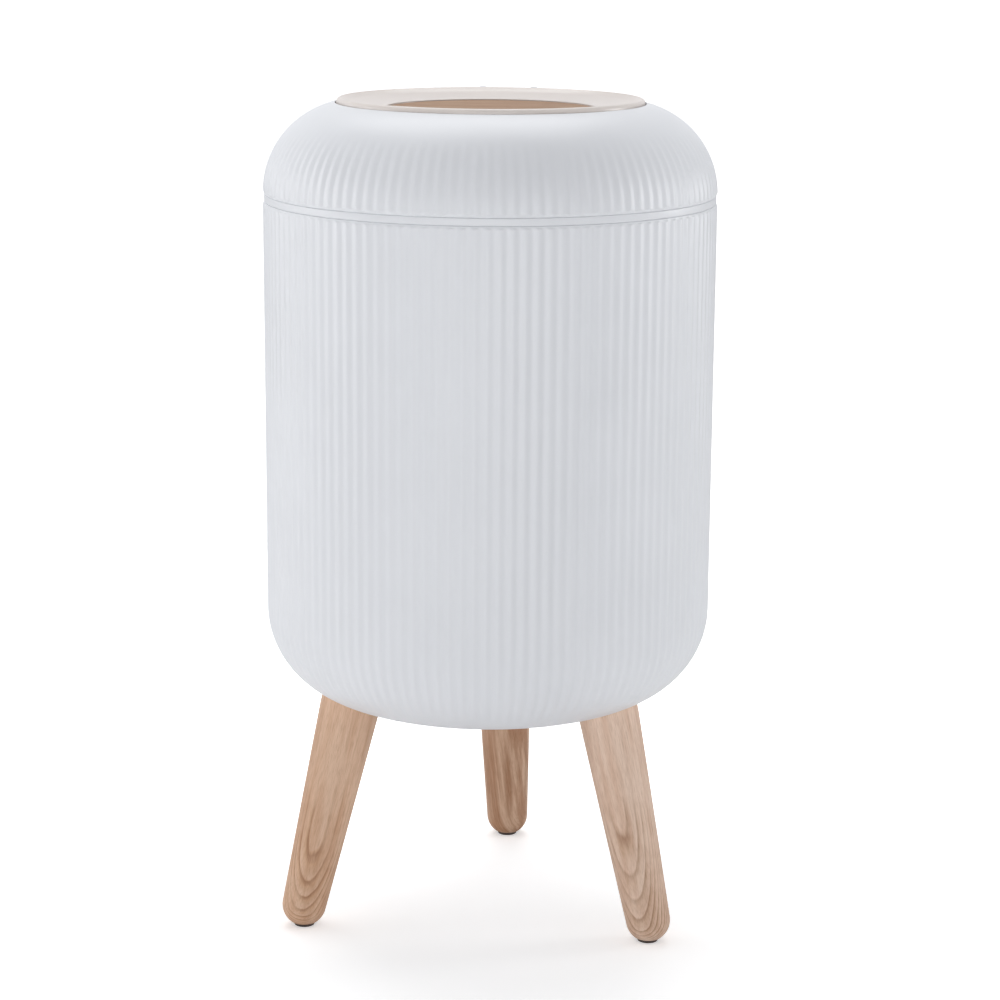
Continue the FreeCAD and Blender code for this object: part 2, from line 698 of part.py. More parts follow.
def plate_springs():
    """Coils between the flap's cover and the push plate."""
    low = cover_top_z + plate_spring_wire_radius + spring_seat_clearance
    high = plate_bottom_z - plate_spring_wire_radius - spring_seat_clearance
    coil = wire_spring(plate_spring_turn_radius, plate_spring_wire_radius, (high - low) / plate_spring_turns,
                       plate_spring_turns)
    springs = []
    for index in range(plate_spring_count):
        x, y = polar(plate_spring_circle_radius, 90 + index * 360 / plate_spring_count)
        spring = coil.copy()
        spring.translate(Vector(x, y, low))
        springs.append(spring)
    return Part.makeCompound(springs)


def latch_housing():
    """Moulded box under the collar's front with a bore for the plunger and pockets for two magnets."""
    box = block(-latch_half_width, latch_half_width, latch_front_y, latch_back_y, latch_bottom_z, latch_top_z)
    ear = block(-latch_half_width, latch_half_width, latch_ear_end_y, latch_front_y,
                collar_flange_z - latch_ear_thickness, collar_flange_z)
    ear = ear.cut(rod(seat_radius, 0, 0, collar_flange_z, collar_seat_z))
    housing = box.fuse(ear)
    bore_radius = plunger_radius + plunger_clearance
    housing = housing.cut(rod(bore_radius, 0, post_y, latch_bottom_z + latch_floor, latch_top_z))
    for x in (-latch_screw_x, latch_screw_x):
        housing = housing.cut(rod(screw_radius + screw_clearance, x, latch_screw_y,
                                  collar_flange_z - latch_ear_thickness, collar_flange_z))
    return housing.cut(latch_magnets()).removeSplitter()


def latch_magnets():
    """Two block magnets, flush with the top of the housing."""
    magnets = []
    for side_sign in (-1, 1):
        faces = sorted((side_sign * magnet_inner_x, side_sign * (magnet_inner_x + magnet_width)))
        magnets.append(block(faces[0], faces[1], post_y - magnet_depth_y / 2, post_y + magnet_depth_y / 2,
                             latch_top_z - magnet_height, latch_top_z))
    return Part.makeCompound(magnets)


def latch_screws():
    """Screws that hold the latch up against the collar."""
    screws = []
    for x in (-latch_screw_x, latch_screw_x):
        screws.append(pan_screw(x, latch_screw_y, collar_flange_z - latch_ear_thickness, collar_seat_z))
    return Part.makeCompound(screws)


def latch_plunger():
    """Plunger that the push plate's post presses down."""
    return rod(plunger_radius, 0, post_y, plunger_bottom_z, plunger_top_z)


def latch_spring():
    """Coil under the plunger."""
    low = latch_bottom_z + latch_floor + latch_spring_wire_radius + spring_seat_clearance
    high = plunger_bottom_z - latch_spring_wire_radius - spring_seat_clearance
    coil = wire_spring(latch_spring_turn_radius, latch_spring_wire_radius, (high - low) / latch_spring_turns,
                       latch_spring_turns)
    coil.translate(Vector(0, post_y, low))
    return coil


lid = lid_shell()
pieces = {
    "bin_body": bin_body(),
    "bag_ring": bag_ring(),
    "lid_shell": lid,
    "throat_collar": throat_collar(lid),
    "collar_screws": collar_screws(),
    "seat_bumpers": seat_bumpers(),
    "hinge_pin": hinge_pin(),
    "torsion_spring": torsion_spring(),
    "flap_dish": flap_dish(),
    "flap_cover": flap_cover(),
    "flap_screws": flap_screws(),
    "strike_plate": strike_plate(),
    "push_plate": push_plate(),
    "wood_disc": wood_disc(),
    "plate_springs": plate_springs(),
    "latch_housing": latch_housing(),
    "latch_magnets": latch_magnets(),
    "latch_screws": latch_screws(),
    "latch_plunger": latch_plunger(),
    "latch_spring": latch_spring(),
}
for place, leg_bearing in leg_bearings.items():
    pieces["leg_" + place] = leg(leg_bearing)
    pieces["leg_insert_" + place] = leg_insert(leg_bearing)
    pieces["leg_screw_" + place] = leg_screw(leg_bearing)
    pieces["foot_pad_" + place] = foot_pad(leg_bearing)

os.makedirs("parts", exist_ok=True)
for name, shape in pieces.items():
    print(name, len(shape.Solids), shape.isValid(), round(shape.Volume))
    shape.exportStep("parts/" + name + ".step")
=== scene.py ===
import bmesh
import bpy
import math
from mathutils import Matrix, Vector


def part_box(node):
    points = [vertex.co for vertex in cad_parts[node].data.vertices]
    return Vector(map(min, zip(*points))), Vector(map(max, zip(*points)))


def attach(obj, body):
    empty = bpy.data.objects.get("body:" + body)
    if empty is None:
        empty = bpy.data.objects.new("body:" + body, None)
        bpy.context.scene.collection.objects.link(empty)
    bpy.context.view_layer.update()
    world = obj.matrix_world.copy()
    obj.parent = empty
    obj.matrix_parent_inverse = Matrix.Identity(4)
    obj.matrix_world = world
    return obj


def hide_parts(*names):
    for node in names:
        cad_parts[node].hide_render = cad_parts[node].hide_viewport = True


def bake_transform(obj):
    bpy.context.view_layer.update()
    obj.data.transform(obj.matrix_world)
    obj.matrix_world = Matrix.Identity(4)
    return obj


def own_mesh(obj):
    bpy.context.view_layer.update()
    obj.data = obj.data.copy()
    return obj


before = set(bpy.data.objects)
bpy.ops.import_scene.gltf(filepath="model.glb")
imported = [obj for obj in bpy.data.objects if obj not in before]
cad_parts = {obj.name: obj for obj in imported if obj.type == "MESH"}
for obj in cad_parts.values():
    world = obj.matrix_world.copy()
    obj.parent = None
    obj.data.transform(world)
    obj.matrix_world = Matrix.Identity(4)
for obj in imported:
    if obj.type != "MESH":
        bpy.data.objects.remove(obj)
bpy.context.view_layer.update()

# Body
# One injection-moulded shell of white polypropylene. The mould presses soft upright flutes into its side,
# which run out in the rounding of the underside, and raises three closed sockets for the legs on its floor.
body_low, body_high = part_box("bin_body")
body_radius = body_high[0]
body_bottom_z = body_low[2]
body_top_z = body_high[2]
body_wall = 0.0024
bottom_round = 0.0485
mouth_edge = 0.0005
flute_count = 120
flute_depth = 0.0006
flute_steps = 8
flute_end_degrees = -62.0  # on the rounding of the underside, from the upright side
flute_full_degrees = -22.0
flute_fade = 0.0012  # next to a seam, where the crests round off
fade_rows = 5
floor_rows = 4
bottom_rows = 30
side_rows = 12
edge_rows = 4
inner_rows = 16
inner_segments = 240
rod_segments = 64
cut_overrun = 0.005
merge_distance = 0.000002
crease_angle = math.radians(32)
leg_places = ("rear", "front_left", "front_right")
leg_splay = math.radians(14)
leg_setback = 0.0092
leg_top_height = 0.014
leg_axis_radius = body_radius - leg_setback
leg_top_z = body_bottom_z + leg_top_height
leg_length = leg_top_z / math.cos(leg_splay)
leg_top_radius = 0.0161
socket_clearance = 0.0002
socket_wall = 0.0024
socket_roof = 0.003
socket_reach = 0.042
screw_hole_radius = 0.0033
flow_cloud_size = 0.07
flow_detail = 2.0
flow_shares = (0.35, 0.65)  # of the clouds, where each of the two tints is reached
skin_shares = (0.3, 0.7)
skin_spread_share = 0.03
mould_grain_size = 0.0004  # drawn coarser than the real grain, so that it shows


def linear(code):
    """Linear colour from a six-digit sRGB code."""
    channels = [int(code[place:place + 2], 16) / 255 for place in (0, 2, 4)]
    spread = [c / 12.92 if c <= 0.04045 else ((c + 0.055) / 1.055) ** 2.4 for c in channels]
    return (*spread, 1.0)


def add_node(tree, kind, inputs, **settings):
    """Adds a node with its settings; an input is a constant or the output of another node."""
    node = tree.nodes.new(kind)
    for name, value in settings.items():
        setattr(node, name, value)
    for key, value in inputs.items():
        if isinstance(value, bpy.types.NodeSocket):
            tree.links.new(value, node.inputs[key])
        else:
            node.inputs[key].default_value = value
    return node


def new_finish(name, constants):
    """Material with its surface shader's constants set."""
    material = bpy.data.materials.new(name)
    material.use_nodes = True
    tree = material.node_tree
    shader = tree.nodes["Principled BSDF"]
    for socket, value in constants.items():
        shader.inputs[socket].default_value = value
    return material, tree, shader


def clouded(name, constants, tints, tint_shares, cloud_size, cloud_detail, roughness, spread_share):
    """Material whose colour and polish change softly in clouds, with its tree, shader and coordinates."""
    material, tree, shader = new_finish(name, constants)
    place = add_node(tree, "ShaderNodeTexCoord", {}).outputs["Object"]
    clouds = add_node(tree, "ShaderNodeTexNoise", {"Vector": place, "Scale": 1 / cloud_size,
                                                   "Detail": cloud_detail}).outputs["Fac"]
    tint = add_node(tree, "ShaderNodeValToRGB", {"Fac": clouds})
    for stop, position, colour in zip(tint.color_ramp.elements, tint_shares, tints):
        stop.position = position
        stop.color = linear(colour)
    tree.links.new(tint.outputs["Color"], shader.inputs["Base Color"])
    skin = add_node(tree, "ShaderNodeMapRange", {
        "Value": clouds, "From Min": skin_shares[0], "From Max": skin_shares[1],
        "To Min": roughness - spread_share, "To Max": roughness + spread_share})
    tree.links.new(skin.outputs["Result"], shader.inputs["Roughness"])
    return material, tree, shader, place


def moulded(name, pale, deep, roughness, relief_share, glow):
    """Moulded plastic: faint flow clouds in its colour, a satin skin and the mould's fine even grain."""
    inside = {"Subsurface Weight": glow, "Subsurface Scale": body_wall, "Subsurface Radius": (1.0, 1.0, 1.0)}
    material, tree, shader, place = clouded(name, inside, (deep, pale), flow_shares, flow_cloud_size,
                                            flow_detail, roughness, skin_spread_share)
    grain = add_node(tree, "ShaderNodeTexNoise", {"Vector": place, "Scale": 1 / mould_grain_size})
    relief = add_node(tree, "ShaderNodeBump", {"Height": grain.outputs["Fac"],
                                               "Distance": mould_grain_size * relief_share})
    tree.links.new(relief.outputs["Normal"], shader.inputs["Normal"])
    return material


def new_rule(name, inputs):
    """Node tree for a form, with its named inputs."""
    tree = bpy.data.node_groups.new(name, "GeometryNodeTree")
    for label, kind in inputs.items():
        tree.interface.new_socket(label, in_out="INPUT", socket_type="NodeSocket" + kind)
    tree.interface.new_socket("Form", in_out="OUTPUT", socket_type="NodeSocketGeometry")
    return tree, add_node(tree, "NodeGroupInput", {}).outputs


def end_rule(tree, form, finish):
    """Ends a node tree in one real mesh with its finish."""
    whole = add_node(tree, "GeometryNodeRealizeInstances", {"Geometry": form})
    done = add_node(tree, "GeometryNodeSetMaterial", {"Geometry": whole.outputs[0], "Material": finish})
    add_node(tree, "NodeGroupOutput", {"Form": done.outputs[0]})


def turning_rule():
    """Node tree that spins an outline about Z and presses flutes into it where the outline asks for them."""
    tree, given = new_rule("turned_form", {"Outline": "Geometry", "Segments": "Int", "Flutes": "Int",
                                           "Flute depth": "Float", "Finish": "Material"})
    rows = add_node(tree, "GeometryNodeAttributeDomainSize", {"Geometry": given["Outline"]},
                    component="MESH").outputs["Point Count"]
    columns = add_node(tree, "FunctionNodeIntegerMath", {0: given["Segments"], 1: 1}, operation="ADD")
    grid = add_node(tree, "GeometryNodeMeshGrid", {"Vertices X": columns.outputs[0], "Vertices Y": rows})
    index = add_node(tree, "GeometryNodeInputIndex", {}).outputs[0]
    row = add_node(tree, "FunctionNodeIntegerMath", {0: index, 1: rows}, operation="MODULO")
    column = add_node(tree, "FunctionNodeIntegerMath", {0: index, 1: rows}, operation="DIVIDE_FLOOR")
    position = add_node(tree, "GeometryNodeInputPosition", {})
    inward = add_node(tree, "GeometryNodeInputNamedAttribute", {"Name": "press"}, data_type="FLOAT_VECTOR")
    here, press = [add_node(tree, "GeometryNodeSampleIndex", {"Geometry": given["Outline"], "Value": field,
                                                              "Index": row.outputs[0]},
                            data_type="FLOAT_VECTOR")
                   for field in (position.outputs[0], inward.outputs["Attribute"])]
    turn = add_node(tree, "ShaderNodeMath", {0: column.outputs[0], 1: given["Segments"]}, operation="DIVIDE")
    angle = add_node(tree, "ShaderNodeMath", {0: turn.outputs[0], 1: 2 * math.pi}, operation="MULTIPLY")
    phase = add_node(tree, "ShaderNodeMath", {0: angle.outputs[0], 1: given["Flutes"]}, operation="MULTIPLY")
    crest = add_node(tree, "ShaderNodeMath", {0: phase.outputs[0]}, operation="COSINE")
    wave = add_node(tree, "ShaderNodeMath", {0: crest.outputs[0], 1: -0.5, 2: 0.5}, operation="MULTIPLY_ADD")
    sink = add_node(tree, "ShaderNodeMath", {0: wave.outputs[0], 1: given["Flute depth"]},
                    operation="MULTIPLY")
    moved = add_node(tree, "ShaderNodeVectorMath", {0: press.outputs[0], 1: sink.outputs[0],
                                                    2: here.outputs[0]}, operation="MULTIPLY_ADD")
    reach = add_node(tree, "ShaderNodeSeparateXYZ", {0: moved.outputs[0]}).outputs
    cosine = add_node(tree, "ShaderNodeMath", {0: angle.outputs[0]}, operation="COSINE")
    sine = add_node(tree, "ShaderNodeMath", {0: angle.outputs[0]}, operation="SINE")
    x = add_node(tree, "ShaderNodeMath", {0: reach["X"], 1: cosine.outputs[0]}, operation="MULTIPLY")
    y = add_node(tree, "ShaderNodeMath", {0: reach["X"], 1: sine.outputs[0]}, operation="MULTIPLY")
    spot = add_node(tree, "ShaderNodeCombineXYZ", {"X": x.outputs[0], "Y": y.outputs[0], "Z": reach["Z"]})
    spun = add_node(tree, "GeometryNodeSetPosition", {"Geometry": grid.outputs["Mesh"],
                                                      "Position": spot.outputs[0]})
    closed = add_node(tree, "GeometryNodeMergeByDistance", {"Geometry": spun.outputs[0],
                                                            "Distance": merge_distance})
    end_rule(tree, closed.outputs[0], given["Finish"])
    return tree


def grown(piece, rule, values):
    """Runs a node tree on a piece with named inputs and leaves a plain mesh with outward faces."""
    modifier = piece.modifiers.new("rule", "NODES")
    modifier.node_group = rule
    for socket in rule.interface.items_tree:
        if socket.name in values:
            modifier[socket.identifier] = values[socket.name]
    settle(piece)


def settle(piece):
    """Turns a piece and its modifiers into one plain mesh with outward faces."""
    shown = piece.evaluated_get(bpy.context.evaluated_depsgraph_get())
    mesh = bpy.data.meshes.new_from_object(shown)
    piece.modifiers.clear()
    piece.data = mesh
    form = bmesh.new()
    form.from_mesh(mesh)
    bmesh.ops.recalc_face_normals(form, faces=form.faces)
    form.to_mesh(mesh)
    form.free()


def placed(name, data):
    """Object in the scene that shows a mesh, a lamp or a camera."""
    item = bpy.data.objects.new(name, data)
    bpy.context.scene.collection.objects.link(item)
    return item


def turned(name, outline, finish, segments, press=None, flutes=0, place=None):
    """Piece spun from an outline of (r, z) points, with flutes pressed along the press directions."""
    mesh = bpy.data.meshes.new(name)
    edges = [(index, index + 1) for index in range(len(outline) - 1)]
    mesh.from_pydata([(r, 0, z) for r, z in outline], edges, [])
    if press:
        rows = mesh.attributes.new("press", "FLOAT_VECTOR", "POINT")
        rows.data.foreach_set("vector", [value for dr, dz in press for value in (dr, 0, dz)])
    piece = placed(name, mesh)
    grown(piece, turning, {"Segments": segments, "Flutes": flutes, "Flute depth": flute_depth,
                           "Finish": finish})
    if place:
        piece.data.transform(place)
    return piece


def block(low, high, finish, place=None):
    """Box between two corners, then carried to its place, used to cut or to build up a piece."""
    corners = [(x, y, z) for x in (low[0], high[0]) for y in (low[1], high[1]) for z in (low[2], high[2])]
    faces = [(0, 1, 3, 2), (4, 6, 7, 5), (0, 4, 5, 1), (2, 3, 7, 6), (0, 2, 6, 4), (1, 5, 7, 3)]
    mesh = bpy.data.meshes.new("block")
    mesh.from_pydata(corners, [], faces)
    mesh.materials.append(finish)
    if place:
        mesh.transform(place)
    piece = placed("block", mesh)
    settle(piece)
    return piece


def rod(radius, low, high, finish, place=None, segments=rod_segments):
    """Cylinder along Z between two heights, then carried to its place."""
    outline = [(0, low), (radius, low), (radius, high), (0, high)]
    return turned("rod", outline, finish, segments, place=place)


def carved(piece, tools, operation="DIFFERENCE"):
    """Cuts tools out of a piece, or joins them to it, one after the other."""
    for tool in tools:
        modifier = piece.modifiers.new("carve", "BOOLEAN")
        modifier.operation = operation
        modifier.solver = "MANIFOLD"
        modifier.object = tool
    settle(piece)
    for tool in tools:
        bpy.data.objects.remove(tool)


def smoothed(piece):
    """Shades a piece smooth between its creases."""
    piece.data.shade_smooth()
    piece.data.set_sharp_from_angle(angle=crease_angle)


def finished(piece, body, slot, *nodes):
    """Smooths a piece, ties it to its body and hides the solids it replaces; its slot is not used."""
    smoothed(piece)
    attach(piece, body)
    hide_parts(*nodes)


def arc(centre, radius, start, end, count=edge_rows):
    """Points on a circle in the (r, z) plane, between two angles in degrees from the outward direction."""
    angles = [math.radians(start + (end - start) * step / count) for step in range(count + 1)]
    return [(centre[0] + radius * math.cos(a), centre[1] + radius * math.sin(a)) for a in angles]


def run(start, end, count):
    """Points on a straight stretch, without its first one."""
    shares = [step / count for step in range(1, count + 1)]
    return [(start[0] + (end[0] - start[0]) * s, start[1] + (end[1] - start[1]) * s) for s in shares]


def eased(value, empty, full):
    """Smooth share between an empty and a full value."""
    share = min(max((value - empty) / (full - empty), 0), 1)
    return share * share * (3 - 2 * share)


def seam_share(distance):
    """Share of their depth that the flutes have reached at a distance from a seam."""
    return eased(distance, 0, flute_fade)


def pressed(outline, depth_share):
    """Inward directions along an outline that runs with its outside on the right, times a share of depth."""
    directions = []
    for index, point in enumerate(outline):
        before = outline[max(index - 1, 0)]
        after = outline[min(index + 1, len(outline) - 1)]
        along = Vector((after[0] - before[0], after[1] - before[1])).normalized()
        share = depth_share(*point)
        directions.append((-along.y * share, along.x * share))
    return directions


def leg_place(index):
    """Carries a shape from a leg's own upright axis to the leg's place."""
    bearing = math.radians(90 + index * 360 / len(leg_places))
    tilt = Matrix.Rotation(-leg_splay, 4, "Y")
    return Matrix.Rotation(bearing, 4, "Z") @ Matrix.Translation((leg_axis_radius, 0, 0)) @ tilt


def leg_rods(radius, low, high):
    """One rod on each leg's axis, between two heights along it."""
    return [rod(radius, low, high, white_plastic, axis) for axis in leg_axes]


# White polypropylene, spark-eroded mould: satin, soft broad highlights, no mirror image, some light inside
white_plastic = moulded("white_polypropylene_moulded", "e9ebef", "e6e8ec",
                        roughness=0.42, relief_share=0.015, glow=0.05)
turning = turning_rule()
leg_axes = [leg_place(index) for index in range(len(leg_places))]

bottom_centre = (body_radius - bottom_round, body_bottom_z + bottom_round)
side_top_z = body_top_z - mouth_edge
body_outline = [
    (0, body_bottom_z),
    *run((0, body_bottom_z), (bottom_centre[0], body_bottom_z), floor_rows)[:-1],
    *arc(bottom_centre, bottom_round, -90, 0, bottom_rows),
    *run((body_radius, bottom_centre[1]), (body_radius, side_top_z - flute_fade), side_rows),
    *run((body_radius, side_top_z - flute_fade), (body_radius, side_top_z), fade_rows),
    *arc((body_radius - mouth_edge, side_top_z), mouth_edge, 0, 90)[1:],
    (0, body_top_z),
]
body_outline = [(r - min(r, flute_depth) * (1 - seam_share(side_top_z - z)), z) for r, z in body_outline]


def body_flute_share(r, z):
    """Share of the body's flute depth: full on the side, running out in the rounding below."""
    if r < bottom_centre[0]:
        return 0
    degrees = math.degrees(math.atan2(z - bottom_centre[1], r - bottom_centre[0]))
    return eased(min(degrees, 0), flute_end_degrees, flute_full_degrees) * seam_share(side_top_z - z)


side_segments = flute_count * flute_steps
body = turned("bin_body_shell", body_outline, white_plastic, side_segments,
              press=pressed(body_outline, body_flute_share), flutes=flute_count)
inner_radius = body_radius - flute_depth - body_wall
inner_round = bottom_round - body_wall
inner_floor_z = body_bottom_z + body_wall
inner_centre = (inner_radius - inner_round, inner_floor_z + inner_round)
hollow = turned("hollow", [(0, inner_floor_z), *arc(inner_centre, inner_round, -90, 0, inner_rows),
                           (inner_radius, body_top_z + cut_overrun), (0, body_top_z + cut_overrun)],
                white_plastic, inner_segments)
socket_low = leg_length - socket_reach
socket_radius = leg_top_radius + socket_clearance
carved(hollow, leg_rods(socket_radius + socket_wall, socket_low, leg_length + socket_roof))
carved(body, [hollow])
carved(body, leg_rods(socket_radius, socket_low, leg_length))
carved(body, leg_rods(screw_hole_radius, leg_length - cut_overrun, leg_length + socket_reach))
finished(body, "bin", "white_plastic", "bin_body")

# Legs
# Three legs turned from pale ash-like wood, tapered and rounded at the foot, sanded and sealed with matt
# lacquer. Each is plugged into its socket and held by a steel screw from inside the bin into a brass sleeve.
leg_end_radius = 0.0119
leg_end_height = 0.0117
leg_end_along = leg_end_height / math.cos(leg_splay)
tenon_length = 0.016
insert_hole_radius = 0.00455
insert_hole_depth = 0.023
pad_thickness = 0.0022
peg_radius = 0.002
peg_length = 0.007
peg_clearance = 0.0001
leg_rows = 40
leg_end_rows = 16
leg_segments = 96
leg_taper_share = (leg_top_radius - leg_end_radius) / (leg_length - tenon_length - leg_end_along)
pith_distance = 0.0346
bow_depth = 0.0085
bow_heights = (0.02, 0.056, 0.078)
grain_lean_shares = (-0.08, leg_taper_share, leg_taper_share)
pith_bearings = (180, 92, 76)  # degrees, where the heart of the tree lay as seen from above
ring_width = 0.0016
ring_waver = 0.0013
ring_pattern_period = math.pi / 10  # at a scale of one
season_shares = (0.6, 0.87, 0.95)  # of a year's growth, where middle, dark and again middle tints lie
waver_size = 0.012
patch_size = 0.016
patch_shares = (0.36, 0.62)
patch_strength_shares = (0.3, 0.9)
band_size = 0.0045
band_shares = (0.38, 0.62)
fibre_size = 0.0004  # drawn coarser than real fibres, so that they show
fibre_relief = 0.00002
fibre_shares = (0.3, 0.56)
fibre_tints = ("e6dfd9", "ffffff")
fibre_strength_share = 0.85
along_share = 0.07
lacquer_shine_share = 0.22
figure_full_height = 0.05  # below this the rings show fully, and above the next one hardly
figure_end_height = 0.1
top_figure_share = 0.2
leg_figure_shares = (0.4, 1.0, 1.0)


def timber(name, pale, middle, dark, band, roughness):
    """Wood whose growth rings and fibres are cut open by the surface, under thin matt lacquer."""
    material, tree, shader = new_finish(name, {"Roughness": roughness,
                                               "Specular IOR Level": lacquer_shine_share})
    place = add_node(tree, "ShaderNodeAttribute", {}, attribute_name="grain").outputs["Vector"]
    drawn = add_node(tree, "ShaderNodeMapping", {"Vector": place, "Scale": (1, 1, along_share)}).outputs[0]
    waver = add_node(tree, "ShaderNodeTexNoise", {"Vector": drawn, "Scale": 1 / waver_size, "Detail": 4.0})
    shifted = add_node(tree, "ShaderNodeVectorMath", {0: waver.outputs["Color"],
                                                      1: (ring_waver, ring_waver, 0), 2: place},
                       operation="MULTIPLY_ADD")
    rings = add_node(tree, "ShaderNodeTexWave", {"Vector": shifted.outputs[0],
                                                 "Scale": ring_pattern_period / ring_width},
                     wave_type="RINGS", rings_direction="Z", wave_profile="SAW")
    season = add_node(tree, "ShaderNodeValToRGB", {"Fac": rings.outputs["Fac"]})
    season.color_ramp.elements[0].color = linear(pale)
    season.color_ramp.elements[1].color = linear(pale)
    for position, colour in zip(season_shares, (middle, dark, middle)):
        season.color_ramp.elements.new(position).color = linear(colour)
    patches = add_node(tree, "ShaderNodeTexNoise", {"Vector": place, "Scale": 1 / patch_size, "Detail": 2.0})
    clear = add_node(tree, "ShaderNodeMapRange", {
        "Value": patches.outputs["Fac"], "From Min": patch_shares[0], "From Max": patch_shares[1],
        "To Min": patch_strength_shares[0], "To Max": patch_strength_shares[1]})
    figure = add_node(tree, "ShaderNodeAttribute", {}, attribute_name="figure").outputs["Fac"]
    marked = add_node(tree, "ShaderNodeMath", {0: clear.outputs["Result"], 1: figure}, operation="MULTIPLY")
    ringed = add_node(tree, "ShaderNodeMix", {0: marked.outputs[0], 6: linear(pale),
                                              7: season.outputs["Color"]}, data_type="RGBA")
    bands = add_node(tree, "ShaderNodeTexNoise", {"Vector": drawn, "Scale": 1 / band_size, "Detail": 2.0})
    shade = add_node(tree, "ShaderNodeMapRange", {"Value": bands.outputs["Fac"], "From Min": band_shares[0],
                                                  "From Max": band_shares[1]})
    banded = add_node(tree, "ShaderNodeMix", {0: shade.outputs["Result"], 6: ringed.outputs[2],
                                              7: linear(band)}, data_type="RGBA", blend_type="MULTIPLY")
    fibres = add_node(tree, "ShaderNodeTexNoise", {"Vector": drawn, "Scale": 1 / fibre_size, "Detail": 4.0})
    streak = add_node(tree, "ShaderNodeValToRGB", {"Fac": fibres.outputs["Fac"]})
    for stop, position, colour in zip(streak.color_ramp.elements, fibre_shares, fibre_tints):
        stop.position = position
        stop.color = linear(colour)
    blend = add_node(tree, "ShaderNodeMix", {0: fibre_strength_share, 6: banded.outputs[2],
                                             7: streak.outputs["Color"]},
                     data_type="RGBA", blend_type="MULTIPLY")
    tree.links.new(blend.outputs[2], shader.inputs["Base Color"])
    relief = add_node(tree, "ShaderNodeBump", {"Height": fibres.outputs["Fac"], "Distance": fibre_relief})
    tree.links.new(relief.outputs["Normal"], shader.inputs["Normal"])
    return material


def grained(piece, spots, figure_shares):
    """Stores where each point lay in its timber, with the tree along Z, and how far the rings show there."""
    grain = piece.data.attributes.new("grain", "FLOAT_VECTOR", "POINT")
    grain.data.foreach_set("vector", [value for spot in spots for value in spot])
    figure = piece.data.attributes.new("figure", "FLOAT", "POINT")
    figure.data.foreach_set("value", figure_shares)


def leg_timber(leg, index):
    """Places of a leg's points in its timber: the tree's axis lies beside it, leans and bows at the foot."""
    bearing = math.radians(pith_bearings[index] - 90 - index * 360 / len(leg_places))
    toward = Vector((math.cos(bearing), math.sin(bearing), 0))
    beside = Vector((-math.sin(bearing), math.cos(bearing), 0))
    spots = []
    for vertex in leg.data.vertices:
        height = vertex.co.z
        sway = bow_depth * max(1 - height / bow_heights[index], 0) ** 2
        away = pith_distance - vertex.co.dot(toward) - sway - grain_lean_shares[index] * height
        spots.append((away, vertex.co.dot(beside), height + index * leg_length))
    return spots


def leg_figure(leg, index):
    """How far the rings show along a leg: most at the foot, and less on the darker rear leg."""
    shares = [eased(vertex.co.z, figure_end_height, figure_full_height) for vertex in leg.data.vertices]
    return [leg_figure_shares[index] * max(share, top_figure_share) for share in shares]


def pad_place(place_name):
    """Carries a shape from the origin to the floor under a leg."""
    low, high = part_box("foot_pad_" + place_name)
    return Matrix.Translation(((low[0] + high[0]) / 2, (low[1] + high[1]) / 2, 0))


# Pale wood, turned and lacquered: fine rings cut into long arches, streaky fibres, almost no shine. Each leg
# has its own tints; the rear one's darker tints are painted shade for its place back under the bin
leg_tints_and_rear_shade = (("cbab92", "c09f86", "957056", "d4c2b4"), ("dfbea4", "d2ab8c", "a57a5b", "f0e8e2"),
             ("ebd1be", "d9bba3", "b08c73", "f0e8e2"))
leg_woods = [timber("pale_wood_turned_lacquered_" + place_name, *tints, roughness=0.55)
             for place_name, tints in zip(leg_places, leg_tints_and_rear_shade)]

shoulder = leg_length - tenon_length
leg_outline = [
    *arc((0, leg_end_along), leg_end_radius, -90, 0, leg_end_rows),
    *run((leg_end_radius, leg_end_along), (leg_top_radius, shoulder), leg_rows),
    (leg_top_radius, leg_length),
    (0, leg_length),
]
leg_reach = leg_axis_radius + leg_top_radius
for index, (place_name, wood, axis) in enumerate(zip(leg_places, leg_woods, leg_axes)):
    upright = axis.inverted()
    leg = turned("leg_turned_" + place_name, leg_outline, wood, leg_segments)
    flat = block((-leg_reach, -leg_reach, -leg_end_radius), (leg_reach, leg_reach, pad_thickness), wood,
                 upright)
    insert_hole = rod(insert_hole_radius, leg_length - insert_hole_depth, leg_length + cut_overrun, wood)
    peg_hole = rod(peg_radius + peg_clearance, 0, pad_thickness + peg_length, wood,
                   upright @ pad_place(place_name))
    carved(leg, [flat, insert_hole, peg_hole])
    grained(leg, leg_timber(leg, index), leg_figure(leg, index))
    leg.data.transform(axis)
    finished(leg, "bin", "wood", "leg_" + place_name)

# Foot pads
# Dark soft pads under the legs that keep them from sliding and marking the floor. Each is moulded in rubber,
# with a peg that is pressed into a hole in the leg's rounded end.
pad_radius = 0.0055
pad_edge = 0.0006

# Moulded rubber: matt and dark, with a dusty bloom that keeps it from going black
foot_rubber = moulded("dark_rubber_moulded", "4a403b", "3d3430", roughness=0.72, relief_share=0.05, glow=0.0)

pad_outline = [
    (0, 0),
    *arc((pad_radius - pad_edge, pad_edge), pad_edge, -90, 0),
    (pad_radius, pad_thickness), (peg_radius, pad_thickness),
    (peg_radius, pad_thickness + peg_length), (0, pad_thickness + peg_length),
]
for place_name in leg_places:
    pad = turned("foot_pad_moulded_" + place_name, pad_outline, foot_rubber, rod_segments,
                 place=pad_place(place_name))
    finished(pad, "bin", "foot_rubber", "foot_pad_" + place_name)

# Leg fasteners
# Zinc-plated socket-head screws that pass through the bin's floor from inside, one for each leg. They draw
# into turned brass sleeves with an inner thread, pressed into the tops of the legs.
plating_size = 0.0012
plating_detail = 3.0
polish_spread_share = 0.06


def metal(name, bright, dull, roughness, cloud_size):
    """Plated, turned or drawn metal: colour and polish change softly in small clouds."""
    return clouded(name, {"Metallic": 1.0}, (dull, bright), skin_shares, cloud_size, plating_detail,
                   roughness, polish_spread_share)[0]


